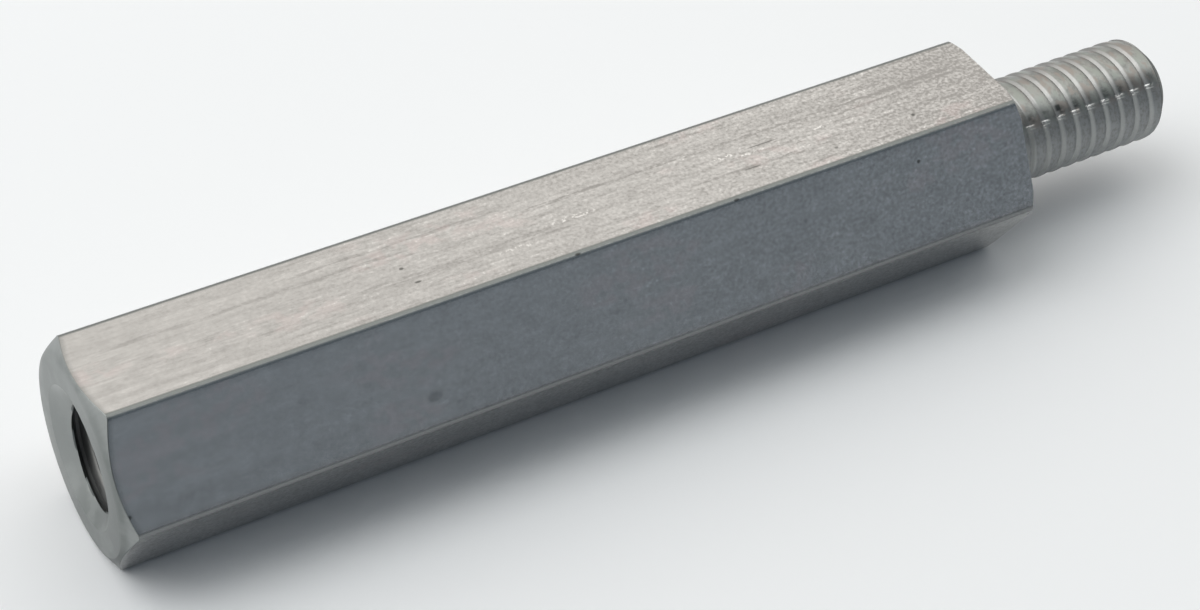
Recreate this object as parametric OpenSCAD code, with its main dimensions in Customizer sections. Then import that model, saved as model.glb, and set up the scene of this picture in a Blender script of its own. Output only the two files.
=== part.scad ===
// Male-female hexagonal standoff, turned from one piece of drawn aluminium bar.
// An M4 stud grows out of one end of a 7 mm bar, and an M4 blind hole is tapped in the other.
//
// Frame: the origin is the centre of the shoulder, the end face that the stud stands on.
// The stud points along +X and the body runs along -X. +Z is up, and the bar lies on a flat.
// The stud is drawn at its thread's outside diameter and the hole at its tapping size.

/* [Body] */
// Length of the body, from the shoulder to the tapped face
body_length = 35; // [18:0.5:100]
// Width of the bar across two opposite flats
across_flats = 7; // [6.8:0.1:7.2]
// Radius that drawing leaves on the bar's six long edges
bar_edge_radius = 0.25; // [0.1:0.05:0.4]

/* [Turned ends] */
// Angle of the turned chamfers, measured from the end faces
chamfer_angle = 30; // [20:1:40]
// Diameter of the round face that the chamfer leaves at the tapped end
tapped_face_d = 6.7; // [5.6:0.05:6.8]
// Diameter where the lighter chamfer of the shoulder meets its face
shoulder_face_d = 7.5; // [6.4:0.05:7.6]

/* [Stud] */
// Outside diameter of the stud's thread
stud_d = 4; // [3.6:0.05:4.5]
// Length of the stud, from the shoulder to its tip
stud_length = 8; // [5:0.5:16]
// Length of the 45 degree lead-in at the tip
stud_lead_in = 0.5; // [0.2:0.05:0.8]
// Radius that the turning tool's nose leaves where the stud meets the shoulder
stud_root_radius = 0.2; // [0.05:0.05:0.4]

/* [Tapped hole] */
// Diameter of the tapping drill, which is the thread's inside diameter
tap_drill_d = 3.3; // [2.9:0.05:3.6]
// Depth of the hole, to the end of its full diameter
hole_depth = 12.5; // [6:0.5:16]
// Point angle of the tapping drill
drill_point_angle = 118; // [90:1:140]
// Diameter of the countersink at the hole's mouth
countersink_d = 4.9; // [4.2:0.05:5.2]
// Full angle of the countersink
countersink_angle = 120; // [82:1:130]

/* [Hidden] */

FLATS = 6;
FLAT_ANGLE = 360 / FLATS;
// Extra length that carries a cutter clear of the face it starts from
CLEAR = 1;

// Distance from the bar's axis to one of its sharp corners, before they are rounded
corner_r = across_flats / 2 / cos(FLAT_ANGLE / 2);
// Radii of the turned faces and of the stud, and depths of the hole's two cones
tapped_face_r = tapped_face_d / 2;
shoulder_face_r = shoulder_face_d / 2;
stud_r = stud_d / 2;
countersink_depth = (countersink_d - tap_drill_d) / 2 / tan(countersink_angle / 2);
drill_point_depth = tap_drill_d / 2 / tan(drill_point_angle / 2);

$fn = 96;

// Turns a shape of revolution drawn up the Z axis to lie along +X.
module along_x() {
    rotate([0, 90, 0]) children();
}

// Section of the drawn bar: a hexagon lying on a flat, with a round on each corner.
module bar_section() {
    // Centre of each round, and the half width of the flat between two rounds
    round_centre_r = corner_r - bar_edge_radius / cos(FLAT_ANGLE / 2);
    flat_half = (across_flats / 2 - bar_edge_radius) * tan(FLAT_ANGLE / 2);

    polygon([
        for (side = [0:FLATS - 1], end = [-1, 1])
            let (turn = side * FLAT_ANGLE)
            [
                across_flats / 2 * cos(turn) - end * flat_half * sin(turn),
                across_flats / 2 * sin(turn) + end * flat_half * cos(turn)
            ]
    ]);
    for (corner = [0:FLATS - 1])
        rotate((corner + 0.5) * FLAT_ANGLE)
            translate([round_centre_r, 0]) circle(r = bar_edge_radius);
}

// Length of drawn bar that the body is turned from, from the tapped face to the shoulder.
module bar_stock() {
    translate([-body_length, 0, 0])
        along_x() linear_extrude(body_length) bar_section();
}

// What the lathe leaves of the bar: a cylinder round its corners, coned off at both ends.
module turned_envelope() {
    slope = tan(chamfer_angle);
    rim_r = corner_r + CLEAR;
    along_x() rotate_extrude() polygon([
        [0, -body_length],
        [tapped_face_r, -body_length],
        [rim_r, -body_length + (rim_r - tapped_face_r) * slope],
        [rim_r, -(rim_r - shoulder_face_r) * slope],
        [shoulder_face_r, 0],
        [0, 0]
    ]);
}

// The stud: round root at the shoulder, full diameter along the thread, lead-in at the tip.
module stud() {
    along_x() rotate_extrude() {
        polygon([
            [0, -CLEAR],
            [stud_r, -CLEAR],
            [stud_r, stud_length - stud_lead_in],
            [stud_r - stud_lead_in, stud_length],
            [0, stud_length]
        ]);
        translate([stud_r, 0]) difference() {
            square(stud_root_radius);
            translate([stud_root_radius, stud_root_radius]) circle(r = stud_root_radius);
        }
    }
}

// Cutter for the blind hole: countersink, tapping bore and the cone of the drill's point.
module tapped_hole() {
    flare = CLEAR * tan(countersink_angle / 2);
    translate([-body_length, 0, 0]) along_x() rotate_extrude() polygon([
        [0, -CLEAR],
        [countersink_d / 2 + flare, -CLEAR],
        [tap_drill_d / 2, countersink_depth],
        [tap_drill_d / 2, hole_depth],
        [0, hole_depth + drill_point_depth]
    ]);
}

// The whole standoff is one solid piece of aluminium.
module hex_standoff() {
    color([0.74, 0.74, 0.72])
    difference() {
        union() {
            intersection() {
                bar_stock();
                turned_envelope();
            }
            stud();
        }
        tapped_hole();
    }
}

hex_standoff();
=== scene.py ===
"""Looks of a male-female hexagonal standoff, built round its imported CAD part.

The part is one piece of drawn aluminium bar. Geometry Nodes loft its skin as rings round the
axis: the bored and tapped hole, the turned tapped face, the six drawn flats, the shoulder and
the threaded stud. One closed mesh comes out of it and stands for the CAD node.
"""

from __future__ import annotations

import logging
import math
from dataclasses import asdict, dataclass, field
from enum import Enum
from typing import Any, Mapping, Optional, Sequence, Union

import bpy
from mathutils import Matrix, Vector


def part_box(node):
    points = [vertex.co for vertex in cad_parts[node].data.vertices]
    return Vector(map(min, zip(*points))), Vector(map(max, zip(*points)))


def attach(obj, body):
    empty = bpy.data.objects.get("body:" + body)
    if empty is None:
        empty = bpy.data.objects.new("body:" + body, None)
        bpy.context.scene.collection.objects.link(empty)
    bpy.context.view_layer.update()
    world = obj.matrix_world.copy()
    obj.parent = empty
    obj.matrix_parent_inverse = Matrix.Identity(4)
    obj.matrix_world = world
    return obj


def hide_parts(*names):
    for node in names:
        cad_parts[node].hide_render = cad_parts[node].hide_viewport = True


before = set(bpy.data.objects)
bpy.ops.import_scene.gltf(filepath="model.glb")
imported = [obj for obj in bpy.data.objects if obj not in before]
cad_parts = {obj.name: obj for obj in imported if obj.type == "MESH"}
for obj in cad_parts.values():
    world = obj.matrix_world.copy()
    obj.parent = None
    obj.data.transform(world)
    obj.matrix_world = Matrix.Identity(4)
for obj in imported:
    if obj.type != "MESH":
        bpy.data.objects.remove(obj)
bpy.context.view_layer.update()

LOG = logging.getLogger("hex_standoff")

MM = 0.001
PER_MM = 1000.0
FLOOR_GAP = 0.01 * MM
NODE_NAME = "hex_standoff"
BODY_NAME = "root"

FLATS = 6
FLAT_ANGLE = 2 * math.pi / FLATS

Colour = tuple[float, float, float]
Socket = bpy.types.NodeSocket


# --- Node trees as Python expressions ---


class Signal:
    """A number on a node link. An expression on signals adds Math nodes to their tree."""

    def __init__(self, graph: Graph, socket: Socket) -> None:
        """Wraps an output socket that carries a number in the graph's tree."""
        self.graph = graph
        self.socket = socket

    def __add__(self, other: Number) -> Signal:
        """Sum of two numbers."""
        return self.graph.math("ADD", self, other)

    def __radd__(self, other: Number) -> Signal:
        """Sum of two numbers."""
        return self.graph.math("ADD", other, self)

    def __sub__(self, other: Number) -> Signal:
        """Difference of two numbers."""
        return self.graph.math("SUBTRACT", self, other)

    def __rsub__(self, other: Number) -> Signal:
        """Difference of two numbers."""
        return self.graph.math("SUBTRACT", other, self)

    def __mul__(self, other: Number) -> Signal:
        """Product of two numbers."""
        return self.graph.math("MULTIPLY", self, other)

    def __rmul__(self, other: Number) -> Signal:
        """Product of two numbers."""
        return self.graph.math("MULTIPLY", other, self)

    def __truediv__(self, other: Number) -> Signal:
        """Quotient of two numbers."""
        return self.graph.math("DIVIDE", self, other)

    def __rtruediv__(self, other: Number) -> Signal:
        """Quotient of two numbers."""
        return self.graph.math("DIVIDE", other, self)

    def __pow__(self, other: Number) -> Signal:
        """One number raised to another."""
        return self.graph.math("POWER", self, other)

    def __lt__(self, other: Number) -> Signal:
        """1 where this number is the smaller, else 0."""
        return self.graph.math("LESS_THAN", self, other)

    def __gt__(self, other: Number) -> Signal:
        """1 where this number is the larger, else 0."""
        return self.graph.math("GREATER_THAN", self, other)

    def floor(self) -> Signal:
        """Whole part of the number."""
        return self.graph.math("FLOOR", self)

    def fraction(self) -> Signal:
        """What is left of the number above its whole part."""
        return self.graph.math("FRACT", self)

    def size(self) -> Signal:
        """The number without its sign."""
        return self.graph.math("ABSOLUTE", self)

    def root(self) -> Signal:
        """Square root, and 0 below 0."""
        return self.graph.math("SQRT", self)

    def sine(self) -> Signal:
        """Sine of an angle in radians."""
        return self.graph.math("SINE", self)

    def cosine(self) -> Signal:
        """Cosine of an angle in radians."""
        return self.graph.math("COSINE", self)

    def at_most(self, limit: Number) -> Signal:
        """The smaller of the number and a limit."""
        return self.graph.math("MINIMUM", self, limit)

    def at_least(self, limit: Number) -> Signal:
        """The larger of the number and a limit."""
        return self.graph.math("MAXIMUM", self, limit)

    def between(self, low: Number, high: Number) -> Signal:
        """The number, held between two limits."""
        return self.at_least(low).at_most(high)

    def ramp(self, low: Number, high: Number) -> Signal:
        """Smooth step of the number, from 0 at low to 1 at high, which may be the smaller one."""
        share = ((self - low) / (high - low)).between(0.0, 1.0)
        return share * share * (3.0 - 2.0 * share)


Number = Union[float, int, Signal]


class Graph:
    """Builder of one node tree, for shaders and for geometry."""

    def __init__(self, tree: bpy.types.NodeTree) -> None:
        """Starts on a node tree and empties it."""
        self.tree = tree
        tree.nodes.clear()

    def node(
        self,
        kind: str,
        settings: Optional[Mapping[str, Any]] = None,
        sockets: Optional[Mapping[Union[str, int], Any]] = None,
    ) -> bpy.types.Node:
        """Adds a node.

        Args:
            kind: The node's type.
            settings: Properties of the node, set before its sockets. The stops of a ramp are a
                list of position and colour.
            sockets: Values or links of its inputs, by name or by number.

        Returns:
            The new node.
        """
        node = self.tree.nodes.new(kind)
        for name, value in (settings or {}).items():
            if name == "stops":
                self._set_stops(node.color_ramp, value)
            else:
                setattr(node, name, value)
        for name, value in (sockets or {}).items():
            self.feed(node.inputs[name], value)
        return node

    def feed(self, target: Socket, value: Any) -> None:
        """Links a value to an input, or sets it there.

        Args:
            target: The input socket.
            value: A signal, a socket, a list of sockets for a socket that takes several, or a
                plain value.
        """
        if isinstance(value, Signal):
            self.tree.links.new(value.socket, target)
        elif isinstance(value, Socket):
            self.tree.links.new(value, target)
        elif isinstance(value, list):
            for link in value:
                self.tree.links.new(link, target)
        else:
            target.default_value = value

    def math(self, operation: str, *operands: Number) -> Signal:
        """The result of a Math node that does an operation on its one to three numbers."""
        node = self.node("ShaderNodeMath", {"operation": operation}, dict(enumerate(operands)))
        return Signal(self, node.outputs[0])

    def choose(self, switch: Signal, where_one: Number, where_zero: Number) -> Signal:
        """Picks one of two numbers.

        Args:
            switch: 1 or 0, or a share in between.
            where_one: The number where the switch is 1.
            where_zero: The number where the switch is 0.

        Returns:
            The number that the switch picks.
        """
        node = self.node(
            "ShaderNodeMix",
            {"data_type": "FLOAT"},
            {"Factor": switch, "A": where_zero, "B": where_one},
        )
        return Signal(self, node.outputs[0])

    def split(self, vector: Socket) -> tuple[Signal, Signal, Signal]:
        """The three parts of a vector."""
        outputs = self.node("ShaderNodeSeparateXYZ", None, {"Vector": vector}).outputs
        return Signal(self, outputs[0]), Signal(self, outputs[1]), Signal(self, outputs[2])

    def combine(self, x: Number, y: Number, z: Number) -> Socket:
        """A vector out of three numbers."""
        return self.node("ShaderNodeCombineXYZ", None, {0: x, 1: y, 2: z}).outputs[0]

    def stretched(self, vector: Socket, factors: Sequence[float]) -> Socket:
        """A vector with each part multiplied by its own factor."""
        settings = {"operation": "MULTIPLY"}
        return self.node("ShaderNodeVectorMath", settings, {0: vector, 1: factors}).outputs[0]

    def moved(self, vector: Socket, step: Sequence[float]) -> Socket:
        """A vector moved by a fixed step."""
        settings = {"operation": "ADD"}
        return self.node("ShaderNodeVectorMath", settings, {0: vector, 1: step}).outputs[0]

    def noise(
        self,
        vector: Socket,
        factors: Sequence[float],
        detail: float = 2.0,
        roughness: float = 0.5,
        step: Sequence[float] = (0.0, 0.0, 0.0),
    ) -> Signal:
        """Noise on a stretched copy of the coordinates.

        Args:
            vector: Coordinates.
            factors: Waves per unit along each axis.
            detail: Number of finer layers.
            roughness: Share of each finer layer.
            step: Move along each axis, so that two noises differ.

        Returns:
            The noise, about 0.5 on average.
        """
        place = self.moved(self.stretched(vector, factors), step)
        node = self.node(
            "ShaderNodeTexNoise",
            {"noise_dimensions": "3D"},
            {"Vector": place, "Scale": 1.0, "Detail": detail, "Roughness": roughness},
        )
        return Signal(self, node.outputs[0])

    @staticmethod
    def _set_stops(ramp: bpy.types.ColorRamp, stops: Sequence[tuple[float, Colour]]) -> None:
        """Gives a colour ramp its stops.

        Args:
            ramp: The ramp of a Color Ramp node.
            stops: Position and colour of each stop.
        """
        while len(ramp.elements) > 1:
            ramp.elements.remove(ramp.elements[-1])
        for number, (position, colour) in enumerate(stops):
            element = ramp.elements[0] if number == 0 else ramp.elements.new(position)
            element.position = position
            element.color = (*colour, 1.0)


# --- Sizes ---


def labelled(sizes: Any) -> dict[str, float]:
    """The sizes that a dataclass holds, by the names of node inputs.

    Args:
        sizes: The dataclass's instance.

    Returns:
        Each size by its name, with an angle turned into a slope.
    """
    values = {}
    for name, value in asdict(sizes).items():
        if name.endswith("_angle"):
            name, value = name.replace("_angle", "_slope"), math.tan(math.radians(value))
        values[name.replace("_", " ").capitalize()] = value
    return values


@dataclass(frozen=True)
class StandoffSizes:
    """Sizes of the part, in metres and degrees. As far as the mouth's angle they are the CAD part's.

    The chamfer's angle is measured from the end face, and the others from the axis to the side of
    their cone.
    """

    body_length: float = 35.0 * MM
    across_flats: float = 7.0 * MM
    edge_radius: float = 0.25 * MM
    chamfer_angle: float = 30.0
    tapped_face_radius: float = 3.35 * MM
    shoulder_face_radius: float = 3.75 * MM
    stud_radius: float = 2.0 * MM
    stud_length: float = 8.0 * MM
    stud_lead_in: float = 0.5 * MM
    root_radius: float = 0.2 * MM
    tapping_radius: float = 1.65 * MM
    hole_depth: float = 12.5 * MM
    drill_point_angle: float = 118.0 / 2
    mouth_radius: float = 2.45 * MM
    mouth_angle: float = 120.0 / 2
    face_round: float = 0.07 * MM
    edge_break: float = 0.015 * MM
    pitch: float = 0.7 * MM
    stud_phase: float = 4.572 * MM
    stud_groove_depth: float = 0.095 * MM
    hole_phase: float = 0.07 * MM
    hole_groove_depth: float = 0.35 * MM
    hole_thread_depth: float = 10.0 * MM


@dataclass(frozen=True)
class Columns:
    """How the vertices of each ring are shared out over one flat and one rounded edge."""

    outer: int = 2
    inner: int = 12
    edge: int = 8

    @property
    def flat(self) -> int:
        """Steps over one flat."""
        return 2 * self.outer + self.inner

    @property
    def sector(self) -> int:
        """Steps over one flat and one rounded edge."""
        return self.flat + self.edge

    @property
    def steps(self) -> int:
        """Steps all the way round."""
        return FLATS * self.sector


class FinishKind(Enum):
    """The finishes on the part, by the number that its faces carry in the node trees."""

    DRAWN = 0
    TURNED = 1
    THREADED = 2


@dataclass(frozen=True)
class ThreadForm:
    """Form of a thread, as shares of the pitch from the foot of its steep flank.

    A band falls from the crest to the root. It is straight at power 1, and starts more gently
    above it.
    """

    rows_a_turn: int
    flank_share: float
    crest_share: float = 0.0
    root_share: float = 0.0
    band_power: float = 1.0
    cone_finish: int = FinishKind.TURNED.value


STUD_FORM = ThreadForm(16, flank_share=0.15, band_power=1.9, cone_finish=FinishKind.THREADED.value)
HOLE_FORM = ThreadForm(12, flank_share=2.0 / 7.0, crest_share=5.0 / 21.0, root_share=10.0 / 63.0)


# --- Geometry Nodes ---


class MeshGraph(Graph):
    """Builder of a geometry node group with named inputs."""

    FINISH = "finish"

    def __init__(self, name: str, inputs: Mapping[str, float], outputs: Sequence[str] = ()) -> None:
        """Makes a group and its sockets.

        Args:
            name: Name of the group.
            inputs: Names of its number inputs, with their first values.
            outputs: Names of its number outputs. Without any it has a mesh output.
        """
        super().__init__(bpy.data.node_groups.new(name, "GeometryNodeTree"))
        face = self.tree.interface
        for label, value in inputs.items():
            socket = face.new_socket(name=label, in_out="INPUT", socket_type="NodeSocketFloat")
            socket.default_value = value
        for label in outputs:
            face.new_socket(name=label, in_out="OUTPUT", socket_type="NodeSocketFloat")
        if not outputs:
            face.new_socket(name="Mesh", in_out="OUTPUT", socket_type="NodeSocketGeometry")
        self._entry = self.node("NodeGroupInput")
        self._exit = self.node("NodeGroupOutput")

    def size(self, label: str) -> Signal:
        """One of the group's number inputs."""
        return Signal(self, self._entry.outputs[label])

    def passed(self, labels: Sequence[str]) -> dict[str, Signal]:
        """Some of the group's number inputs, by the names that another group gives them too."""
        return {label: self.size(label) for label in labels}

    def give(self, label: str, value: Any) -> None:
        """Sends a value to one of the group's outputs."""
        self.feed(self._exit.inputs[label], value)

    def call(self, group: MeshGraph, sizes: Mapping[str, Number]) -> bpy.types.Node:
        """The node of another group in this one, with values or links for its inputs."""
        return self.node("GeometryNodeGroup", {"node_tree": group.tree}, sizes)

    def whole(self, value: Number) -> Socket:
        """The nearest whole number, for a socket that counts."""
        node = self.node("FunctionNodeFloatToInt", {"rounding_mode": "ROUND"}, {0: value})
        return node.outputs[0]

    def pick(self, index: Signal, values: Sequence[Number]) -> Signal:
        """Picks a number by its place in a list.

        Args:
            index: Place in the list, from 0.
            values: The numbers.

        Returns:
            The number at that place.
        """
        node = self.node("GeometryNodeIndexSwitch", {"data_type": "FLOAT"})
        while len(node.index_switch_items) < len(values):
            node.index_switch_items.new()
        self.feed(node.inputs[0], self.whole(index))
        for number, value in enumerate(values):
            self.feed(node.inputs[number + 1], value)
        return Signal(self, node.outputs[0])


class RingGrid:
    """A grid in a geometry tree, with columns round the axis and rows from ring to ring."""

    SECTION = ("Across flats", "Edge radius", "Shoulder face radius")

    def __init__(self, graph: MeshGraph, layout: ColumnLayout, rows: Number) -> None:
        """Adds the grid.

        Args:
            graph: Builder of the tree, which has the sizes of the bar's section as inputs.
            layout: Where its columns stand.
            rows: Number of steps from its first ring to its last.
        """
        self.graph = graph
        steps = layout.columns.steps
        counts = {"Vertices X": steps + 1, "Vertices Y": graph.whole(rows + 1)}
        grid = graph.node("GeometryNodeMeshGrid", None, {"Size X": steps, "Size Y": rows, **counts})
        self.mesh = grid.outputs["Mesh"]
        across, along, _ = graph.split(graph.node("GeometryNodeInputPosition").outputs[0])

        # Whole on the vertices and a half more in the middle of each face
        column = (2.0 * across + steps + 0.5).floor() * 0.5
        self.row = (2.0 * along + rows + 0.5).floor() * 0.5
        placing = graph.call(layout.group, {"Column": column, **graph.passed(self.SECTION)})
        self.angle = Signal(graph, placing.outputs["Angle"])
        self.bar = Signal(graph, placing.outputs["Bar radius"])

    def mark(self, kind: Number) -> None:
        """Gives the grid's faces the number of their finish.

        Args:
            kind: The number, the same everywhere or by row and column.
        """
        node = self.graph.node(
            "GeometryNodeStoreNamedAttribute",
            {"data_type": "FLOAT", "domain": "FACE"},
            {"Geometry": self.mesh, "Name": MeshGraph.FINISH, "Value": kind},
        )
        self.mesh = node.outputs[0]

    def placed(self, x: Number, radius: Number) -> Socket:
        """The grid with its vertices at their places round the axis.

        Args:
            x: Distance along the axis.
            radius: Distance from the axis.

        Returns:
            The mesh.
        """
        # The angle runs from +Y towards +Z
        place = self.graph.combine(x, radius * self.angle.cosine(), radius * self.angle.sine())
        sockets = {"Geometry": self.mesh, "Position": place}
        return self.graph.node("GeometryNodeSetPosition", None, sockets).outputs[0]


class ColumnLayout:
    """Where each column of a ring stands round the axis, and how far the bar reaches there."""

    def __init__(self, columns: Columns) -> None:
        """Makes the group that gives a column's angle and the radius of the bar's section there."""
        self.columns = columns
        self.group = self._build()

    def _build(self) -> MeshGraph:
        """Makes the group.

        Returns:
            The group.
        """
        inputs = dict.fromkeys(("Column", *RingGrid.SECTION), 1.0)
        graph = MeshGraph("column_layout", inputs, ("Angle", "Bar radius"))
        half_flats = 0.5 * graph.size("Across flats")
        edge_radius = graph.size("Edge radius")
        half_turn = FLAT_ANGLE / 2

        # The flat ends where the round starts, and a column stands where the rim circle meets it
        half_flat = (half_flats - edge_radius) * math.tan(half_turn)
        round_angle = graph.math("ARCTANGENT", half_flat / half_flats)
        rim_angle = graph.math("ARCCOSINE", half_flats / graph.size("Shoulder face radius"))

        # The little more keeps the first column of a sector out of the one before
        column = graph.size("Column")
        sector = (column / self.columns.sector + 0.001).floor()
        step = column - sector * self.columns.sector
        outer = (round_angle - rim_angle) / self.columns.outer
        inner = 2 * rim_angle / self.columns.inner
        edge = 2 * (half_turn - round_angle) / self.columns.edge
        second = self.columns.outer + self.columns.inner
        local = (
            step.between(0, self.columns.outer) * outer
            + (step - self.columns.outer).between(0, self.columns.inner) * inner
            + (step - second).between(0, self.columns.outer) * outer
            + (step - self.columns.flat).between(0, self.columns.edge) * edge
            - round_angle
        )
        graph.give("Angle", sector * FLAT_ANGLE + half_turn + local)

        on_flat = half_flats / local.cosine()
        centre = (half_flats - edge_radius) / math.cos(half_turn)
        from_edge = local - half_turn
        offset = centre * from_edge.sine()
        on_edge = centre * from_edge.cosine() + (edge_radius * edge_radius - offset * offset).root()
        graph.give("Bar radius", graph.choose(step > self.columns.flat + 0.5, on_edge, on_flat))
        return graph


@dataclass
class HexBar:
    """The drawn bar between its two turned ends, up to the root of the stud."""

    body_rows: int = 12
    root_rows: int = 5
    break_waves: tuple[float, float, float] = (9.0, 9.0, 0.37)
    least_break: float = 0.4
    break_spread: float = 1.2

    INPUTS = (
        "Body length",
        "Chamfer slope",
        "Mouth radius",
        "Tapped face radius",
        "Face round",
        "Stud radius",
        "Root radius",
        "Edge break",
        *RingGrid.SECTION,
    )

    def build(self, layout: ColumnLayout) -> MeshGraph:
        """Makes the group.

        Args:
            layout: Where the columns stand.

        Returns:
            A group that gives the skin from the countersink's rim to the stud's root.
        """
        graph = MeshGraph("hex_bar", dict.fromkeys(self.INPUTS, 1.0))
        length = graph.size("Body length")
        slope = graph.size("Chamfer slope")
        tapped_face = graph.size("Tapped face radius")
        shoulder_face = graph.size("Shoulder face radius")
        root = graph.size("Root radius")
        stud = graph.size("Stud radius")

        # Five rings at the tapped end, then the body's, two at the shoulder, and the root's
        first_body = 5
        last_body = first_body + self.body_rows - 1
        first_root = last_body + 3
        grid = RingGrid(graph, layout, first_root + self.root_rows)
        bar = grid.bar

        # A real edge is broken unevenly
        ring = graph.combine(grid.angle.cosine(), grid.angle.sine(), grid.row)
        uneven = graph.noise(ring, self.break_waves, detail=3.0)
        edge_break = graph.size("Edge break") * (self.least_break + self.break_spread * uneven)
        inside = bar - edge_break
        tapped_start = (bar - tapped_face) * slope - length
        shoulder_start = (bar - shoulder_face).at_least(0.0) * slope * -1.0

        share = ((grid.row - first_body) / (self.body_rows - 1)).between(0.0, 1.0)
        body_from = tapped_start + edge_break
        body_to = shoulder_start - edge_break
        body_x = body_from + (body_to - body_from) * share

        turn = ((grid.row - first_root) / self.root_rows).between(0.0, 1.0) * (math.pi / 2)
        root_x = root * (1.0 - turn.cosine())
        root_r = stud + root * (1.0 - turn.sine())

        face_round = graph.size("Face round")
        mouth = graph.size("Mouth radius")
        tapped_end = [
            (length * -1.0, mouth),
            (length * -1.0, mouth + face_round),
            (length * -1.0, tapped_face - face_round),
            (face_round * slope - length, tapped_face + face_round),
            ((inside - tapped_face) * slope - length, inside),
        ]
        shoulder_end = [
            ((inside - shoulder_face).at_least(0.0) * slope * -1.0, inside),
            (0.0, inside.at_most(shoulder_face)),
        ]
        rings = tapped_end + [(body_x, bar)] + shoulder_end + [(root_x, root_r)]
        place = grid.row.at_most(first_body) + (grid.row - last_body).between(0, 3)
        x = graph.pick(place, [ring[0] for ring in rings])
        radius = graph.pick(place, [ring[1] for ring in rings])

        # Faces between body rings are drawn, and all the others are turned
        off_middle = (grid.row - 0.5 * (first_body + last_body)).size()
        grid.mark((off_middle > 0.5 * (last_body - first_body)) * FinishKind.TURNED.value)
        graph.give("Mesh", grid.placed(x, radius))
        return graph


@dataclass
class CutThread:
    """A helical thread on a cylinder, with its run-out, and the cone that starts it."""

    flank_rows: int = 3

    INPUTS = (
        "Start",
        "End",
        "Surface radius",
        "Groove depth",
        "Pitch",
        "Phase",
        "Run-out place",
        "Run-out length",
        "Cone place",
        "Cone radius",
        "Cone slope",
        *labelled(STUD_FORM),
        *RingGrid.SECTION,
    )

    def build(self, layout: ColumnLayout) -> MeshGraph:
        """Makes the group.

        The rows of the mesh follow the helix, so crests and roots come out clean. Rows that would
        pass an end are held on its ring, where they merge.

        Args:
            layout: Where the columns stand.

        Returns:
            A group that gives a threaded tube between two plain rings.
        """
        graph = MeshGraph("cut_thread", dict.fromkeys(self.INPUTS, 1.0))
        start = graph.size("Start")
        end = graph.size("End")
        pitch = graph.size("Pitch")
        turn_rows = graph.size("Rows a turn")
        phase = graph.size("Phase")

        turns = graph.math("CEIL", (end - start) / pitch) + 3.0
        grid = RingGrid(graph, layout, turns * turn_rows)
        lead = grid.angle / (2 * math.pi)

        # The steep flank gets rows of its own
        flank = graph.size("Flank share")
        step = grid.row / turn_rows
        flank_step = self.flank_rows / turn_rows
        part = step.fraction()
        up_flank = (part / flank_step).at_most(1.0) * flank
        along_band = ((part - flank_step) / (1.0 - flank_step)).at_least(0.0) * (1.0 - flank)
        first = ((start - phase) / pitch).floor() - 2.0
        along = first + step.floor() + up_flank + along_band + lead
        x = (phase + pitch * along).between(start, end)

        # From the foot of a flank up to the crest, then down a long band to the next root
        turn_share = ((x - phase) / pitch - lead).fraction()
        crest_end = flank + graph.size("Crest share")
        band = 1.0 - crest_end - graph.size("Root share")
        fall = ((turn_share - crest_end) / band).between(0.0, 1.0) ** graph.size("Band power")
        depth = (1.0 - turn_share / flank).at_least(fall)
        fade = ((x - graph.size("Run-out place")) / graph.size("Run-out length")).between(0.0, 1.0)
        threaded = graph.size("Surface radius") - graph.size("Groove depth") * depth * fade

        # The cone cuts the crests of a stud and widens the mouth of a hole
        slope = graph.size("Cone slope")
        cone = graph.size("Cone radius") + slope * (x - graph.size("Cone place")).size()
        sense = graph.math("SIGN", slope)
        radius = sense * (sense * threaded).at_most(sense * cone)
        coned = sense * threaded > sense * cone
        grid.mark(graph.choose(coned, graph.size("Cone finish"), FinishKind.THREADED.value))
        graph.give("Mesh", grid.placed(x, radius))
        return graph


@dataclass
class ClosingCone:
    """A cone or flat disc that closes a ring to a point on the axis."""

    rows: int = 4

    INPUTS = ("Ring place", "Ring radius", "Point place", "Finish", *RingGrid.SECTION)

    def build(self, layout: ColumnLayout) -> MeshGraph:
        """Makes the group.

        Args:
            layout: Where the columns stand.

        Returns:
            A group that gives the cone.
        """
        graph = MeshGraph("closing_cone", dict.fromkeys(self.INPUTS, 1.0))
        grid = RingGrid(graph, layout, self.rows)
        share = grid.row / self.rows
        ring_place = graph.size("Ring place")
        x = ring_place + (graph.size("Point place") - ring_place) * share
        radius = graph.size("Ring radius") * (1.0 - share)
        grid.mark(graph.size("Finish"))
        graph.give("Mesh", grid.placed(x, radius))
        return graph


# --- Finishes ---


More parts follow.
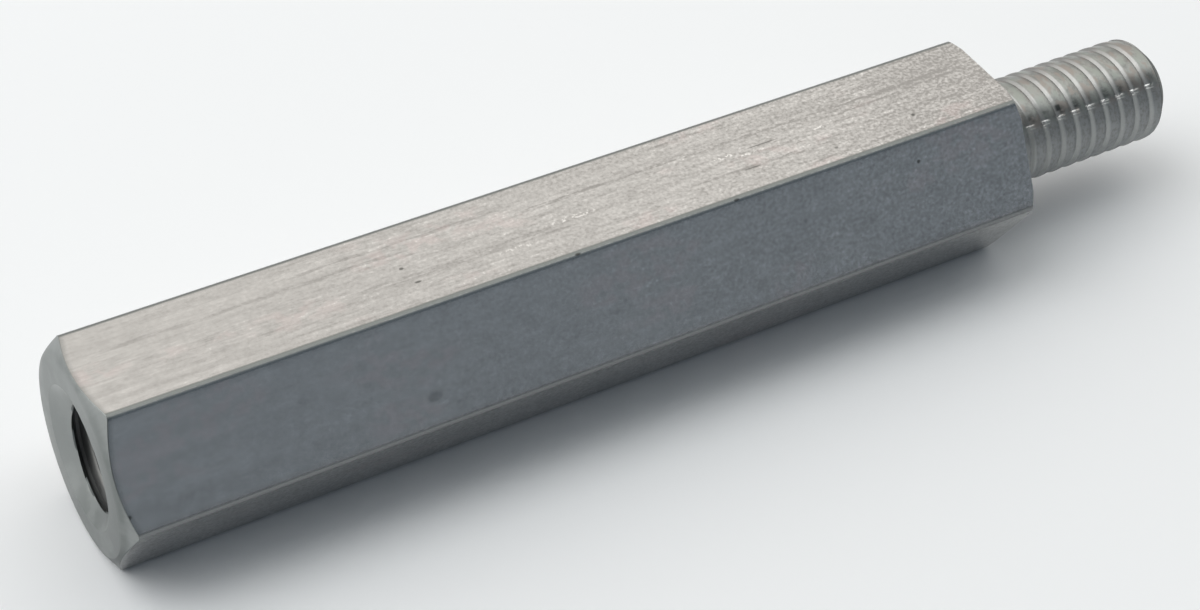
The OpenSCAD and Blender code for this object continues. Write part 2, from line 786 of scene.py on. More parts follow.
class SurfaceGraph(Graph):
    """Builder of a material's node tree, with the part's own coordinates in millimetres."""

    def __init__(self, name: str, sizes: StandoffSizes) -> None:
        """Makes a material.

        Args:
            name: Name of the material.
            sizes: Sizes of the part that wears it.
        """
        self.body_length = sizes.body_length * PER_MM
        self.material = bpy.data.materials.new(name)
        self.material.use_nodes = True
        super().__init__(self.material.node_tree)
        place = self.node("ShaderNodeTexCoord").outputs["Object"]
        self.place = self.stretched(place, (PER_MM, PER_MM, PER_MM))
        self.x, self.y, self.z = self.split(self.place)
        self.radius = (self.y * self.y + self.z * self.z).root()

    def grain(
        self,
        factors: Sequence[float],
        detail: float = 2.0,
        roughness: float = 0.5,
        step: Sequence[float] = (0.0, 0.0, 0.0),
    ) -> Signal:
        """Noise on the part's coordinates, with its waves a millimetre along each axis."""
        return self.noise(self.place, factors, detail, roughness, step)

    def tapped_end(self) -> Signal:
        """1 nearer to the tapped end than to the stud, else 0."""
        return self.x < -0.5 * self.body_length

    def within_cone(self, rim: float, slope: float) -> Signal:
        """How far a point is within the cone that starts at a rim of the tapped face."""
        return rim + (self.x + self.body_length) * slope - self.radius

    def tint(self, factor: Number, first: Any, second: Any) -> Socket:
        """Mixes two colours.

        Args:
            factor: Share of the second colour.
            first: A colour or a colour socket.
            second: A colour or a colour socket.

        Returns:
            The mixed colour.
        """
        node = self.node(
            "ShaderNodeMix",
            {"data_type": "RGBA"},
            {0: factor, 6: self._colour(first), 7: self._colour(second)},
        )
        return node.outputs[2]

    def layered(self, base: Any, *layers: tuple[Number, Any]) -> Socket:
        """Lays colours over a first one.

        Args:
            base: The lowest colour, or its socket.
            layers: Share and colour of each layer, from the lowest up.

        Returns:
            The colour that is seen.
        """
        for share, colour in layers:
            base = self.tint(share, base, colour)
        return base

    def bump(self, height: Signal, microns: float, under: Optional[Socket] = None) -> Socket:
        """A normal tilted by a height.

        Args:
            height: Height from 0 to 1.
            microns: What 1 stands for, in thousandths of a millimetre.
            under: Normal of a coarser bump under this one.

        Returns:
            The normal.
        """
        distance = microns * MM / PER_MM
        node = self.node("ShaderNodeBump", None, {"Strength": 1.0, "Distance": distance, "Height": height})
        if under is not None:
            self.feed(node.inputs["Normal"], under)
        return node.outputs[0]

    def metal(self, colour: Any, roughness: Number, normal: Socket) -> bpy.types.Material:
        """Ends the tree in a metal surface.

        Args:
            colour: Colour of the metal.
            roughness: Its roughness.
            normal: Its normal.

        Returns:
            The material.
        """
        shader = self.node(
            "ShaderNodeBsdfPrincipled",
            None,
            {"Base Color": self._colour(colour), "Metallic": 1.0, "Roughness": roughness, "Normal": normal},
        )
        self.node("ShaderNodeOutputMaterial", None, {"Surface": shader.outputs[0]})
        return self.material

    @staticmethod
    def _colour(value: Any) -> Any:
        """A colour with its fourth number, or the socket that it already is."""
        return (*value, 1.0) if isinstance(value, tuple) else value


@dataclass(frozen=True)
class Scratch:
    """A long die line on the flat that lies uppermost, in millimetres."""

    side: float
    start: float
    end: float
    width: float
    strength: float
    drift: float = 0.0


@dataclass(frozen=True)
class Pit:
    """A small spot in the skin of the bar, a pit or a sparkle, in millimetres."""

    place: tuple[float, float, float]
    length: float
    width: float
    strength: float


@dataclass(frozen=True)
class Finish:
    """What every finish on the part knows. Its own places and widths are in millimetres."""

    sizes: StandoffSizes

    def within_chamfer(self, graph: SurfaceGraph) -> Signal:
        """How far a point of the graph's is within the cone of the tapped end's chamfer."""
        slope = 1.0 / math.tan(math.radians(self.sizes.chamfer_angle))
        return graph.within_cone(self.sizes.tapped_face_radius * PER_MM, slope)


@dataclass(frozen=True)
class DrawnFinish(Finish):
    """Satin skin of drawn bar: even grain, lengthwise streaks, broken die lines and pits."""

    dark_colour: Colour = (0.325, 0.320, 0.312)
    pale_colour: Colour = (0.660, 0.656, 0.648)
    speck_colour: Colour = (0.86, 0.86, 0.85)
    blush_colour: Colour = (0.56, 0.45, 0.45)
    # The edge colours paint shade and a highlight on the rounded edges, and the pit colour also paints
    # shade
    pit_colour: Colour = (0.10, 0.10, 0.095)
    edge_colour: Colour = (0.20, 0.215, 0.21)
    bared_colour: Colour = (0.74, 0.76, 0.75)
    side_edge_colour: Colour = (0.13, 0.14, 0.145)
    roughness: float = 0.21
    grain_height: float = 3.5

    # Past this distance from the axis it is a rounded long edge, and past this height the top flat
    edge_from: float = 3.968
    top_from: float = 3.4
    scratches: tuple[Scratch, ...] = (
        Scratch(0.67, -34.5, -22.0, 0.12, 0.22),
        Scratch(0.66, -19.5, -0.5, 0.11, 0.38),
        Scratch(1.15, -28.0, -19.0, 0.10, 0.30, -0.01),
        Scratch(-0.58, -26.0, -17.0, 0.25, 0.25),
        Scratch(0.22, -7.0, -0.3, 0.07, 0.40, 0.04),
        Scratch(-0.80, -13.5, -9.0, 0.07, 0.35),
    )
    pits: tuple[Pit, ...] = (
        Pit((-23.7, -0.08, 3.5), 0.10, 0.07, 0.8),
        Pit((-23.5, -0.88, 3.5), 0.16, 0.06, 0.8),
        Pit((-10.6, -0.88, 3.5), 0.45, 0.05, 0.7),
        Pit((-7.4, -1.28, 3.5), 0.10, 0.07, 0.7),
        Pit((-3.9, -0.98, 3.5), 0.09, 0.09, 0.9),
        Pit((-9.6, 0.06, 3.5), 0.85, 0.035, 0.7),
        Pit((-4.6, -2.48, 2.73), 0.09, 0.09, 0.9),
        Pit((-24.2, -3.50, 0.93), 0.35, 0.20, 0.3),
        Pit((-34.77, -3.65, 0.67), 0.11, 0.09, 0.9),
        Pit((-18.2, -2.01, 3.48), 0.14, 0.07, 0.8),
        Pit((-12.0, -2.03, 3.46), 0.14, 0.07, 0.7),
    )
    sparkles: tuple[Pit, ...] = (
        Pit((-11.2, 0.02, 3.5), 0.60, 0.10, 0.9),
        Pit((-10.3, -0.20, 3.5), 0.70, 0.08, 0.8),
        Pit((-7.2, -0.08, 3.5), 0.50, 0.10, 0.7),
        Pit((-17.5, -0.35, 3.5), 1.20, 0.14, 0.7),
        Pit((-19.8, -0.90, 3.5), 0.90, 0.12, 0.6),
    )

    def material(self) -> bpy.types.Material:
        """Builds the finish.

        Returns:
            The material of the six flats.
        """
        graph = SurfaceGraph("drawn_aluminium", self.sizes)
        fine = graph.grain((7.0, 8.0, 8.0), roughness=0.65) - 0.5
        bark = graph.grain((0.9, 6.0, 6.0), detail=4.0, roughness=0.7, step=(3.0, 1.0, 7.0)) - 0.5
        rows = graph.grain((0.09, 2.6, 2.6), detail=4.0, roughness=0.6, step=(1.0, 8.0, 3.0)) - 0.5
        cloud = graph.grain((0.22, 0.6, 0.6), step=(9.0, 4.0, 2.0))
        mottle = graph.grain((1.8, 2.0, 2.0), step=(4.0, 2.0, 9.0)) - 0.5
        patch = cloud.ramp(0.40, 0.60)

        # The grain gets crisper toward the shoulder, and one flat is more drawn out than the rest
        top = graph.z > self.top_from
        crisp = 0.30 + 1.9 * (graph.x / graph.body_length + 1.0).between(0.0, 1.0) ** 1.2
        under = graph.z.ramp(-0.05, -0.30)
        level = 0.5 + fine * (crisp * (0.70 + top * 0.55) + under * 2.5) + mottle * 0.40
        level = level + bark * (0.45 + patch * 0.9) * (0.25 + top * 1.05) * (0.55 + crisp * 0.4)
        level = level + rows * (0.32 + top * 0.43) + (cloud - 0.5) * 0.25
        level = level - self._scratched(graph, bark) - top * graph.x.ramp(-9.0, -1.0) * 0.22
        blush = cloud.ramp(0.54, 0.64) * mottle.ramp(-0.08, 0.08)
        # Pale specks, stronger on the top flat, and the sparkles are painted highlights
        pale = fine.ramp(0.10, 0.20) * bark.ramp(0.02, 0.12) * patch * (0.25 + top * 0.45) * crisp
        pale = pale + fine.ramp(0.02, 0.10) * self._spots(graph, self.sparkles)

        # The rounded long edges are rougher, with painted shade at the sides and on top, and a painted
        # highlight line below the top
        rim = self.edge_from
        edge = graph.radius.ramp(rim - 0.02, rim + 0.016) * (graph.z.size() < 1.0)
        jittered_radius = graph.radius + mottle * 0.02
        shaded_top_edge = jittered_radius.ramp(rim - 0.018, rim + 0.012) * graph.z.ramp(3.462, 3.478)
        edge_highlight = graph.radius.ramp(rim, rim + 0.014) * graph.z.ramp(3.475, 3.435) * graph.z.ramp(3.375, 3.40)

        # Beside the tapped end's chamfer the skin gets painted shade, with a darker painted line along the
        # edge
        inset = self.within_chamfer(graph)
        colour = graph.layered(
            self.dark_colour,
            (level.between(0.0, 1.0), self.pale_colour),
            (blush * 0.25, self.blush_colour),
            (pale.at_most(1.0), self.speck_colour),
            (edge * 0.83, self.side_edge_colour),
            (shaded_top_edge * 0.90, self.edge_colour),
            (edge_highlight * 0.90, self.bared_colour),
            (inset.ramp(0.40, 0.0) * 0.45, self.edge_colour),
            (inset.ramp(0.06, 0.01) * 0.80, self.pit_colour),
            (self._spots(graph, self.pits), self.pit_colour),
        )
        normal = graph.bump(fine * crisp * 0.35 + bark * 0.2 + 0.5, self.grain_height)
        roughness = self.roughness + (cloud - 0.5) * 0.08 + fine * 0.08 + edge * 0.12 + shaded_top_edge * 0.10
        return graph.metal(colour, roughness, normal)

    def _scratched(self, graph: SurfaceGraph, breaks: Signal) -> Signal:
        """Where the long die lines are.

        Args:
            graph: The material's graph.
            breaks: A streaky signal that breaks the lines up.

        Returns:
            The lines' strength.
        """
        wander = graph.grain((0.7, 0.0, 0.0), detail=3.0, roughness=0.7)
        total: Number = 0.0
        for line in self.scratches:
            middle = line.side + (graph.x - line.start) * line.drift + (wander - 0.5) * 0.25
            across = (graph.y - middle).size().ramp(line.width, line.width * 0.3)
            along = (graph.x - line.start).ramp(0.0, 1.5) * (line.end - graph.x).ramp(0.0, 1.5)
            total = total + across * along * line.strength
        return total * (graph.z > self.top_from) * breaks.ramp(0.16, -0.02)

    @staticmethod
    def _spots(graph: SurfaceGraph, spots: tuple[Pit, ...]) -> Signal:
        """Where some small spots are.

        Args:
            graph: The material's graph.
            spots: The spots.

        Returns:
            The spots' strength.
        """
        axes = (graph.x, graph.y, graph.z)
        total: Number = 0.0
        for pit in spots:
            east, north, up = (axis - place for axis, place in zip(axes, pit.place))
            far = ((east / pit.length) ** 2.0 + (north * north + up * up) / pit.width**2).root()
            total = total + far.ramp(1.0, 0.5) * pit.strength
        return total.at_most(1.0)


@dataclass(frozen=True)
class TurnedFinish(Finish):
    """Faces and chamfers cut on the lathe: fine rings round the axis, dulled in blotches."""

    colour: Colour = (0.255, 0.27, 0.265)
    dull_colour: Colour = (0.20, 0.215, 0.21)
    pale_colour: Colour = (0.35, 0.365, 0.36)
    # Colour of painted shade on the chamfer, its bevel and the countersink
    grimy_colour: Colour = (0.08, 0.09, 0.09)
    tip_colour: Colour = (0.07, 0.08, 0.075)
    tip_place: float = 4.0
    roughness: float = 0.38
    ring_height: float = 5.0

    def material(self) -> bpy.types.Material:
        """Builds the finish.

        Returns:
            The material of the end faces and chamfers.
        """
        graph = SurfaceGraph("turned_aluminium", self.sizes)
        face_radius = self.sizes.tapped_face_radius * PER_MM
        mouth_radius = self.sizes.mouth_radius * PER_MM
        rings = graph.noise(
            graph.combine(graph.radius, graph.x, 0.0), (14.0, 14.0, 1.0), detail=3.0, roughness=0.7
        )
        blotch = graph.grain((0.9, 0.9, 0.9), detail=3.0, step=(5.0, 5.0, 1.0))

        # The tapped end: its chamfer gets painted shade below and along its edge, and its upper part
        # painted light
        chamfered = graph.tapped_end() * graph.radius.ramp(face_radius - 0.02, face_radius + 0.02)
        upper_light = graph.tapped_end() * graph.z.ramp(2.1, 2.9) * 0.28
        bevel = chamfered * self.within_chamfer(graph).ramp(0.001, 0.005) * graph.radius.ramp(3.44, 3.47)

        # The countersink is painted paler toward the top and toward +Y as painted light, and painted dark
        # where its cone ends as painted shade
        hollow = graph.tapped_end() * graph.radius.ramp(mouth_radius + 0.02, mouth_radius - 0.02)
        bright = (graph.z.ramp(-0.3, 1.9) * 0.80).at_least(graph.y.ramp(-0.5, 1.8) * 0.58)
        mouth_slope = math.tan(math.radians(self.sizes.mouth_angle))
        off_mouth = graph.within_cone(mouth_radius, -mouth_slope).size()
        # The stud's end is painted dark, as painted shade
        tip = graph.x > self.tip_place
        colour = graph.layered(
            self.dull_colour,
            (blotch.ramp(0.42, 0.62), self.colour),
            (chamfered * graph.z.ramp(-0.6, -1.8) * 0.85, self.grimy_colour),
            (chamfered * graph.radius.ramp(3.48, 3.75) * 0.5, self.pale_colour),
            (upper_light.at_least(hollow * bright), self.pale_colour),
            (tip * 0.7, self.tip_colour),
            (bevel * 0.45, self.grimy_colour),
            (hollow * off_mouth.ramp(0.004, 0.012) * 0.9, self.grimy_colour),
        )
        normal = graph.bump(rings + blotch * 0.5, self.ring_height)
        roughness = self.roughness + (blotch - 0.5) * 0.1 + tip * 0.25
        return graph.metal(colour, roughness, normal)


@dataclass(frozen=True)
class ThreadFinish(Finish):
    """Cut threads: crests painted darker on top and paler down the side, over a stained band. The stud is
    rougher and painted darker below a row of nicks.
    """

    crest_colour: Colour = (0.29, 0.29, 0.285)
    side_crest_colour: Colour = (0.50, 0.50, 0.49)
    band_colour: Colour = (0.395, 0.405, 0.388)
    dull_colour: Colour = (0.285, 0.29, 0.28)
    warm_colour: Colour = (0.37, 0.335, 0.31)
    cool_colour: Colour = (0.37, 0.40, 0.37)
    dim_colour: Colour = (0.20, 0.20, 0.195)
    mouth_colour: Colour = (0.06, 0.065, 0.065)
    tip_colour: Colour = (0.09, 0.10, 0.095)
    matte_colour: Colour = (0.312, 0.325, 0.330)
    matte_crest_colour: Colour = (0.50, 0.51, 0.50)
    bore_colour: Colour = (0.22, 0.225, 0.225)
    bore_crest_colour: Colour = (0.42, 0.42, 0.41)
    nick_colour: Colour = (0.60, 0.61, 0.60)
    nick_shade: Colour = (0.06, 0.065, 0.065)
    nick_angle: float = 133.0
    nick_height: float = 22.0
    grain_height: float = 2.5
    gouge_place: float = 2.86
    roughness: float = 0.40
    matte_roughness: float = 0.60

    def material(self) -> bpy.types.Material:
        """Builds the finish.

        Returns:
            The material of the stud and of the tapped hole.
        """
        graph = SurfaceGraph("threaded_aluminium", self.sizes)
        grain = graph.grain((8.0, 6.0, 6.0), detail=4.0, roughness=0.75)
        patch = graph.grain((1.5, 1.5, 1.5), step=(2.0, 6.0, 4.0))
        turn = graph.math("ARCTAN2", graph.z, graph.y) / (2 * math.pi)

        # From 0 at the foot of a flank to 1 at the next
        along = (graph.x - self.sizes.stud_phase * PER_MM) / (self.sizes.pitch * PER_MM)
        share = (along - turn + (grain - 0.5) * 0.05).fraction()
        rise = (share + 0.15).fraction()
        crest = rise.ramp(0.03, 0.14) * rise.ramp(0.40, 0.22)

        # Below a row of nicks along the stud the metal is rougher and painted darker, as painted shade, and
        # stains cross its band
        mm_per_degree = self.sizes.stud_radius * PER_MM * math.pi / 180.0
        below = (turn.fraction() * 360.0 - self.nick_angle) * mm_per_degree
        matte_and_shade = below.ramp(0.10, 0.40) * below.ramp(5.5, 4.5)
        dull = 0.30 + (patch - 0.5) * 3.6 + (grain - 0.5) * 4.0
        stain = graph.grain((2.2, 1.6, 1.6), step=(7.0, 1.0, 3.0))
        uneven_shade = (0.90 + (grain - 0.5) * 0.5 + (patch - 0.5) * 0.3).between(0.0, 1.0)
        # A band just above the nicks gets painted shade
        dim = below.ramp(-0.42, -0.20) * below.ramp(0.10, -0.02)
        # The crests are painted darker on top and paler further down and below the nicks: painted shade and
        # painted highlight
        crest_colour = graph.layered(
            self.crest_colour,
            (below.ramp(-1.25, -0.50), self.side_crest_colour),
            (matte_and_shade, self.matte_crest_colour),
        )

        # Each nick is two small ledges that face upward, with a painted glint on them and a painted shade
        # patch above; a gouge is painted as shade too
        nick = graph.grain((0.8, 2.0, 2.0), detail=1.0, step=(0.9, 0.0, 0.0))
        torn = graph.grain((5.0, 9.0, 9.0), step=(0.0, 5.0, 0.0))
        reach = (share + 0.10).fraction().ramp(0.66, 0.34) * torn.ramp(0.30, 0.50)
        shade = below.ramp(-0.42, -0.14) * below.ramp(0.06, -0.04)
        shade = shade * share.ramp(0.02, 0.25) * share.ramp(0.75, 0.35)
        shade = shade * nick.ramp(0.40, 0.62) * torn.ramp(0.30, 0.60) * 0.6
        gouge_shade = (graph.x - self.gouge_place).size().ramp(0.15, 0.05)
        gouge_shade = gouge_shade * (below + 0.21).size().ramp(0.17, 0.07)
        shade = shade.at_least(gouge_shade * torn.ramp(0.20, 0.40) * 0.9)
        ledge = below.ramp(0.06, 0.13) - below.ramp(0.13, 0.20) * 0.7
        ledge = ledge + below.ramp(0.20, 0.25) * 0.5 - below.ramp(0.25, 0.60) * 0.8
        glint = below.ramp(0.04, 0.07) * below.ramp(0.17, 0.13)
        glint = glint + below.ramp(0.19, 0.21) * below.ramp(0.27, 0.25) * 0.6
        glint = glint * reach * (0.45 + nick.ramp(0.62, 0.40) * 0.55)

        # The hole is painted darker in its grooves and at its mouth, as painted shade
        bore = graph.layered(
            self.bore_crest_colour,
            ((graph.radius - self.sizes.tapping_radius * PER_MM).ramp(0.03, 0.15), self.bore_colour),
            (graph.x.ramp(-34.35, -34.50) * 0.75, self.mouth_colour),
        )
        inside = graph.tapped_end()
        stud = graph.x > 0.0
        # The stud's lead-in is painted dark, as painted shade
        lead_in = (self.sizes.stud_length + self.sizes.stud_radius - self.sizes.stud_lead_in) * PER_MM
        tip = (graph.x + graph.radius - lead_in).ramp(-0.04, -0.01) * stud
        colour = graph.layered(
            self.band_colour,
            (dull.between(0.0, 1.0), self.dull_colour),
            (stain.ramp(0.51, 0.61) * 0.85, self.warm_colour),
            (stain.ramp(0.47, 0.37) * 0.75, self.cool_colour),
            (matte_and_shade * uneven_shade, self.matte_colour),
            (matte_and_shade * grain.ramp(0.56, 0.38) * 0.60, self.dim_colour),
            (dim * 0.15, self.dim_colour),
            (crest * (0.28 + (grain + patch) * 0.66).at_most(1.0), crest_colour),
            (shade, self.nick_shade),
            (glint, self.nick_colour),
            (inside, bore),
            (tip * 0.9, self.tip_colour),
        )
        normal = graph.bump(ledge * reach * stud, self.nick_height)
        normal = graph.bump(grain, self.grain_height, normal)
        dulled = matte_and_shade.at_least(inside * 0.6).at_least(tip)
        duller = self.matte_roughness - self.roughness
        roughness = self.roughness + (patch - 0.5) * 0.15 + dulled * duller
        return graph.metal(colour, roughness, normal)


# --- The part ---


@dataclass
class Standoff:
    """The whole part: one closed skin lofted by Geometry Nodes and dressed in three finishes."""

    sizes: StandoffSizes = field(default_factory=StandoffSizes)
    columns: Columns = field(default_factory=Columns)
    merge_distance: float = 5e-7
    sharp_angle: float = 24.0
    thread_sharp_angle: float = 50.0

    def build(self) -> bpy.types.Object:
        """Makes the part's object.

        Returns:
            A plain mesh object at the origin.
        """
        carrier = bpy.data.objects.new("standoff", bpy.data.meshes.new("standoff"))
        bpy.context.scene.collection.objects.link(carrier)
        values = labelled(self.sizes)
        graph = self._tree(values)
        modifier = carrier.modifiers.new("skin", "NODES")
        modifier.node_group = graph.tree
        for item in graph.tree.interface.items_tree:
            if item.in_out == "INPUT":
                modifier[item.identifier] = values[item.name]
        depsgraph = bpy.context.evaluated_depsgraph_get()
        mesh = bpy.data.meshes.new_from_object(carrier.evaluated_get(depsgraph), depsgraph=depsgraph)
        carrier.modifiers.clear()
        carrier.data = mesh

        # The carrier's empty first slot comes along
        if mesh.materials[0] is None:
            mesh.materials.pop(index=0)
        mesh.name = "standoff"
        return carrier

    def _tree(self, values: Mapping[str, float]) -> MeshGraph:
        """Builds the tree of the whole skin.

        Args:
            values: Names and first values of its inputs.

        Returns:
            The tree's builder.
        """
        layout = ColumnLayout(self.columns)
        bar_group = HexBar().build(layout)
        thread_group = CutThread().build(layout)
        cone_group = ClosingCone().build(layout)

        graph = MeshGraph("standoff_skin", values)
        section = graph.passed(RingGrid.SECTION)
        pitch = graph.size("Pitch")
        bar = graph.call(bar_group, graph.passed(HexBar.INPUTS))

        stud_end = graph.size("Stud length")
        tip_radius = graph.size("Stud radius") - graph.size("Stud lead in")
        stud = graph.call(
            thread_group,
            {
                "Start": graph.size("Root radius"),
                "End": stud_end,
                "Surface radius": graph.size("Stud radius"),
                "Groove depth": graph.size("Stud groove depth"),
                "Pitch": pitch,
                "Phase": graph.size("Stud phase"),
                "Run-out place": graph.size("Root radius"),
                "Run-out length": pitch,
                "Cone place": stud_end,
                "Cone radius": tip_radius,
                "Cone slope": 1.0,
                **labelled(STUD_FORM),
                **section,
            },
        )
        tip = graph.call(
            cone_group,
            {
                "Ring place": stud_end,
                "Ring radius": tip_radius,
                "Point place": stud_end,
                "Finish": float(FinishKind.TURNED.value),
                **section,
            },
        )

        mouth = graph.size("Body length") * -1.0
        bottom = mouth + graph.size("Hole depth")
        thread_end = mouth + graph.size("Hole thread depth")
        hole = graph.call(
            thread_group,
            {
                "Start": mouth,
                "End": bottom,
                "Surface radius": graph.size("Tapping radius"),
                "Groove depth": graph.size("Hole groove depth") * -1.0,
                "Pitch": pitch,
                "Phase": mouth + graph.size("Hole phase"),
                "Run-out place": thread_end,
                "Run-out length": pitch * -1.0,
                "Cone place": mouth,
                "Cone radius": graph.size("Mouth radius"),
                "Cone slope": graph.size("Mouth slope") * -1.0,
                **labelled(HOLE_FORM),
                **section,
            },
        )
        point = graph.call(
            cone_group,
            {
                "Ring place": bottom,
                "Ring radius": graph.size("Tapping radius"),
                "Point place": bottom + graph.size("Tapping radius") / graph.size("Drill point slope"),
                "Finish": float(FinishKind.THREADED.value),
                **section,
            },
        )
        inner = graph.node("GeometryNodeJoinGeometry", None, {0: [hole.outputs[0], point.outputs[0]]})
        inner = graph.node("GeometryNodeFlipFaces", None, {0: inner.outputs[0]})
        parts = [bar.outputs[0], stud.outputs[0], tip.outputs[0], inner.outputs[0]]
        skin = graph.node("GeometryNodeJoinGeometry", None, {0: parts}).outputs[0]
        merging = {0: skin, "Distance": self.merge_distance}
        skin = graph.node("GeometryNodeMergeByDistance", None, merging).outputs[0]
        graph.give("Mesh", self._dressed(graph, skin))
        return graph

    def _dressed(self, graph: MeshGraph, skin: Socket) -> Socket:
        """Gives the skin its shading and its materials.

        Args:
            graph: Builder of the tree.
            skin: The closed skin, whose faces carry the number of their finish.

        Returns:
            The finished mesh.
        """
        name = {"Name": MeshGraph.FINISH}
        numbers = graph.node("GeometryNodeInputNamedAttribute", {"data_type": "FLOAT"}, name)
        number = Signal(graph, numbers.outputs[0])
        shading = "GeometryNodeSetShadeSmooth"
        mesh = graph.node(shading, {"domain": "FACE"}, {0: skin, "Shade Smooth": True}).outputs[0]

        # An edge has the mean number of its two faces. It is sharp past a bend that depends on
        # the finish, and always between a turned face and a threaded one.
        bend = Signal(graph, graph.node("GeometryNodeInputMeshEdgeAngle").outputs["Unsigned Angle"])
        threaded = number > FinishKind.THREADED.value - 0.75
        angles = (math.radians(self.thread_sharp_angle), math.radians(self.sharp_angle))
        limit = graph.choose(threaded, *angles)
        between = (number - (FinishKind.TURNED.value + FinishKind.THREADED.value) / 2).size() < 0.3
        sharp = (bend > limit).at_least(between)
        sockets = {0: mesh, "Selection": sharp, "Shade Smooth": False}
        mesh = graph.node(shading, {"domain": "EDGE"}, sockets).outputs[0]
        mesh = graph.node("GeometryNodeRealizeInstances", None, {0: mesh}).outputs[0]
        finishes = {
            FinishKind.DRAWN: DrawnFinish,
            FinishKind.TURNED: TurnedFinish,
            FinishKind.THREADED: ThreadFinish,
        }
        for kind, finish in finishes.items():
            # The first one goes on all faces, so that no face is left without
            sockets = {"Geometry": mesh, "Material": finish(self.sizes).material()}
            if kind.value > 0:
                sockets["Selection"] = number > kind.value - 0.5
            mesh = graph.node("GeometryNodeSetMaterial", None, sockets).outputs[0]
        return mesh


# --- Studio ---


@dataclass(frozen=True)
class Lamp:
    """A round soft white lamp that faces the part."""

    name: str
    direction: tuple[float, float, float]
    distance: float
    diameter: float
    power: float

    def build(self) -> None:
        """Hangs the lamp in the scene."""
        data = bpy.data.lights.new(self.name, "AREA")
        data.shape = "DISK"
        data.size = self.diameter
        data.energy = self.power
        lamp = bpy.data.objects.new(self.name, data)
        place = Vector(self.direction).normalized() * self.distance
        lamp.matrix_world = Matrix.Translation(place) @ place.to_track_quat("Z", "Y").to_matrix().to_4x4()
        bpy.context.scene.collection.objects.link(lamp)


@dataclass
class Studio:
    """A pale floor in a long light tent: bright behind and overhead, dark on the camera's side."""

    floor_level: float
    half_length: float = 3.2
    radius: float = 0.8
    arc_steps: int = 48
    floor_colour: Colour = (0.885, 0.90, 0.92)

    # Tone of the tent, by share of the half turn from the back's floor over to the front's
    tent_tones: tuple[tuple[float, Colour], ...] = (
        (0.00, (0.54, 0.54, 0.54)),
        (0.08, (0.70, 0.69, 0.67)),
        (0.17, (0.90, 0.88, 0.84)),
        (0.23, (1.17, 1.13, 1.07)),
        (0.30, (1.10, 1.06, 1.01)),
        (0.37, (0.97, 0.95, 0.91)),
        (0.43, (1.26, 1.26, 1.22)),
        (0.48, (1.38, 1.39, 1.35)),
        (0.54, (1.09, 1.11, 1.09)),
        (0.60, (0.47, 0.50, 0.51)),
        (0.65, (0.20, 0.22, 0.23)),
        (0.75, (0.09, 0.105, 0.12)),
        (0.79, (0.09, 0.105, 0.12)),
        (0.84, (0.08, 0.095, 0.11)),
        (0.88, (0.10, 0.12, 0.14)),
        (0.92, (0.35, 0.40, 0.45)),
        (0.96, (0.18, 0.205, 0.23)),
        (1.00, (0.09, 0.10, 0.115)),
    )
    lamps: tuple[Lamp, ...] = (
        Lamp("top_lamp", (-0.45, 0.25, 0.86), 0.60, 0.50, 0.72),
        Lamp("side_lamp", (-0.75, 0.55, 0.37), 0.60, 0.85, 1.25),
    )
    world_colour: Colour = (0.60, 0.60, 0.60)

    def build(self) -> None:
        """Makes the floor, the tent, the lamps and the world."""
        self._floor()
        self._tent()
        for lamp in self.lamps:
            lamp.build()
        self._world()

    def _floor(self) -> None:
        """Lays a plain matt floor under the part."""
        reach = self.half_length
        corners = [(-reach, -reach), (reach, -reach), (reach, reach), (-reach, reach)]
        points = [(x, y, self.floor_level) for x, y in corners]
        graph = self._place("floor", "floor_paper", points, [(0, 1, 2, 3)])
        shader = graph.node("ShaderNodeBsdfDiffuse", None, {"Color": (*self.floor_colour, 1.0)})
        graph.node("ShaderNodeOutputMaterial", None, {"Surface": shader.outputs[0]})

    def _tent(self) -> None:
        """Hangs the tent over the floor, half a cylinder along the part's axis."""
        rings = []
        for step in range(self.arc_steps + 1):
            angle = math.pi * step / self.arc_steps
            height = self.floor_level + self.radius * math.sin(angle)
            rings.append((self.radius * math.cos(angle), height))
        points = [(x, y, z) for y, z in rings for x in (-self.half_length, self.half_length)]
        faces = [(2 * n, 2 * n + 1, 2 * n + 3, 2 * n + 2) for n in range(self.arc_steps)]
        graph = self._place("tent", "tent_cloth", points, faces)
        _, y, z = graph.split(graph.node("ShaderNodeTexCoord").outputs["Object"])
        share = graph.math("ARCTAN2", z - self.floor_level, y) / math.pi
        tone = graph.node("ShaderNodeValToRGB", {"stops": self.tent_tones}, {"Fac": share})
        shader = graph.node("ShaderNodeEmission", None, {"Color": tone.outputs[0], "Strength": 1.0})
        graph.node("ShaderNodeOutputMaterial", None, {"Surface": shader.outputs[0]})

    def _world(self) -> None:
        """Gives the room outside the tent one plain pale colour."""
        world = bpy.data.worlds.new("room")
        world.use_nodes = True
        graph = Graph(world.node_tree)
        colour = (*self.world_colour, 1.0)
        shader = graph.node("ShaderNodeBackground", None, {"Color": colour, "Strength": 1.0})
        graph.node("ShaderNodeOutputWorld", None, {"Surface": shader.outputs[0]})
        bpy.context.scene.world = world

    @staticmethod
    def _place(
        name: str,
        finish: str,
        points: Sequence[tuple[float, float, float]],
        faces: Sequence[tuple[int, ...]],
    ) -> Graph:
        """Puts a piece of the studio in the scene.

        Args:
            name: Name of the piece.
            finish: Name of its material.
            points: Its vertices.
            faces: Its faces.

        Returns:
            The builder of its material.
        """
        mesh = bpy.data.meshes.new(name)
        mesh.from_pydata(points, [], faces)
        material = bpy.data.materials.new(finish)
        material.use_nodes = True
        mesh.materials.append(material)
        piece = bpy.data.objects.new(name, mesh)
        bpy.context.scene.collection.objects.link(piece)
        return Graph(material.node_tree)


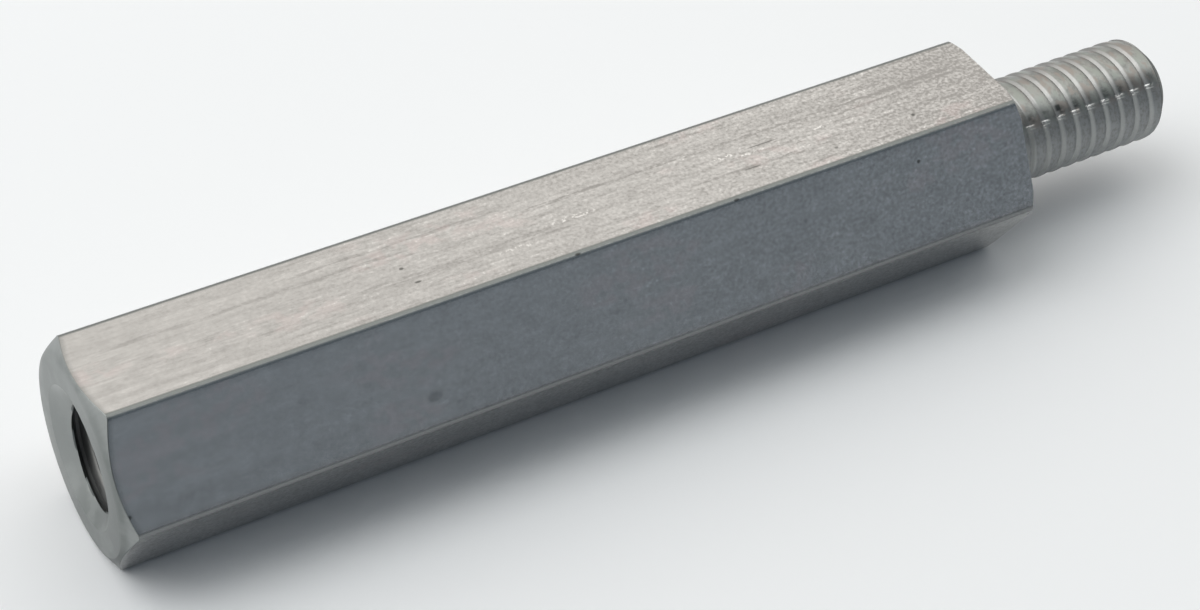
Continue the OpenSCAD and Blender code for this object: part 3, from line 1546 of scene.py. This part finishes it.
@dataclass(frozen=True)
class ProductCamera:
    """A camera that looks down on the part from the front left."""

    target: tuple[float, float, float] = (-13.947 * MM, 3.411 * MM, 0.0)
    distance: float = 92.033 * MM
    azimuth: float = -33.203
    elevation: float = 40.564
    roll: float = 4.372
    lens: float = 77.316
    shift_up: float = -0.0875
    sensor_width: float = 36.0
    nearest: float = 1.0 * MM
    farthest: float = 10.0

    def build(self) -> bpy.types.Object:
        """Makes the camera.

        Returns:
            The camera's object.
        """
        turn = math.radians(self.azimuth)
        rise = math.radians(self.elevation)
        back = Vector((math.sin(turn) * math.cos(rise), -math.cos(turn) * math.cos(rise), math.sin(rise)))
        level = Vector((math.cos(turn), math.sin(turn), 0.0))
        right = Matrix.Rotation(math.radians(self.roll), 3, back) @ level
        up = back.cross(right)
        place = Vector(self.target) + back * self.distance
        data = bpy.data.cameras.new("camera")
        data.sensor_fit = "HORIZONTAL"
        data.sensor_width = self.sensor_width
        data.lens = self.lens
        data.shift_y = self.shift_up
        data.clip_start = self.nearest
        data.clip_end = self.farthest
        camera = bpy.data.objects.new("camera", data)
        axes = Matrix((right, up, back)).transposed().to_4x4()
        camera.matrix_world = Matrix.Translation(place) @ axes
        bpy.context.scene.collection.objects.link(camera)
        bpy.context.scene.camera = camera
        return camera


# --- Making ---


def triangle_count(mesh: bpy.types.Mesh) -> int:
    """Number of triangles of a mesh."""
    return sum(len(face.vertices) - 2 for face in mesh.polygons)


def main() -> None:
    """Builds the part, its studio and its camera."""
    logging.basicConfig(level=logging.INFO, format="%(name)s: %(message)s")
    bpy.context.scene.view_settings.view_transform = "Standard"

    camera = ProductCamera().build()
    LOG.info("camera %s at %s", camera.name, tuple(round(v, 4) for v in camera.location))

    part = Standoff().build()
    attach(part, BODY_NAME)
    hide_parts(NODE_NAME)
    LOG.info("%s has %d triangles", part.name, triangle_count(part.data))

    low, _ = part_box(NODE_NAME)
    floor_level = low.z - FLOOR_GAP
    Studio(floor_level=floor_level).build()
    LOG.info("studio stands on a floor at %.5f", floor_level)


if __name__ == "__main__":
    main()
